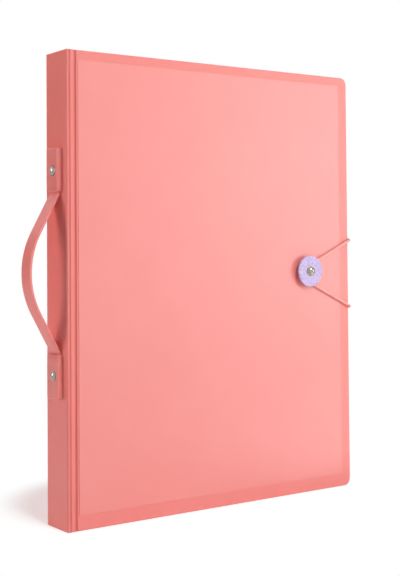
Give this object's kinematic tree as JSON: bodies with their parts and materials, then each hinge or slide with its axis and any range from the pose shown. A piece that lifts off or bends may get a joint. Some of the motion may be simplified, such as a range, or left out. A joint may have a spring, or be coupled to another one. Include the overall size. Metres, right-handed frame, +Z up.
{
  "type": "drawing portfolio",
  "caption": "Hard upright portfolio case with a creased spine, a bowed strap handle on riveted tabs and an elastic loop over a round button.",
  "frame": {"origin": "middle of the closed case's footprint, on the surface that it stands on", "axes": "+X from the spine to the fore edge, -Y out of the front cover, +Z up along the spine"},
  "size_m": [0.2855, 0.0422, 0.33],
  "materials": {
    "cover_board": "greyboard wrapped in matt coated paper",
    "facing_paper": "matt coated sheet",
    "lining_paper": "plain uncoated sheet",
    "tray_board": "paper-covered board",
    "handle_material": "soft matt",
    "nickel": "polished nickel plate",
    "neck_plastic": "moulded",
    "button_felt": "pressed felt",
    "elastic_cord": "braided over rubber"
  },
  "bodies": {
    "back_case": {"back_board": "cover_board", "back_facing": "facing_paper", "tray_base": "tray_board", "tray_fore_wall": "tray_board", "tray_bottom_wall": "tray_board", "tray_top_wall": "tray_board", "elastic_eyelets": "nickel", "elastic_knots": "elastic_cord", "elastic_loop": "elastic_cord"},
    "spine": {"spine_board": "cover_board", "spine_lining": "lining_paper", "lower_tab": "handle_material", "upper_tab": "handle_material", "handle_strap": "handle_material", "handle_rivets": "nickel", "handle_washers": "nickel"},
    "hinge_strip": {"front_strip": "cover_board", "groove_web": "cover_board"},
    "front_cover": {"front_board": "cover_board", "front_facing": "facing_paper", "front_lining": "lining_paper", "button_neck": "neck_plastic", "button_disc": "button_felt", "button_rivet": "nickel", "button_washer": "nickel"}
  },
  "joints": [
    {"name": "back_corner_fold", "type": "hinge", "parent": "back_case", "child": "spine", "pos_m": [-0.1272, 0.015, 0.165], "axis": [0, 0, -1], "range_deg": [0, 90]},
    {"name": "front_corner_fold", "type": "hinge", "parent": "spine", "child": "hinge_strip", "pos_m": [-0.1272, -0.015, 0.165], "axis": [0, 0, -1], "range_deg": [0, 90]},
    {"name": "cover_fold", "type": "hinge", "parent": "hinge_strip", "child": "front_cover", "pos_m": [-0.12285, -0.015, 0.165], "axis": [0, 0, -1], "range_deg": [0, 90], "deforming": ["elastic_loop"]}
  ]
}
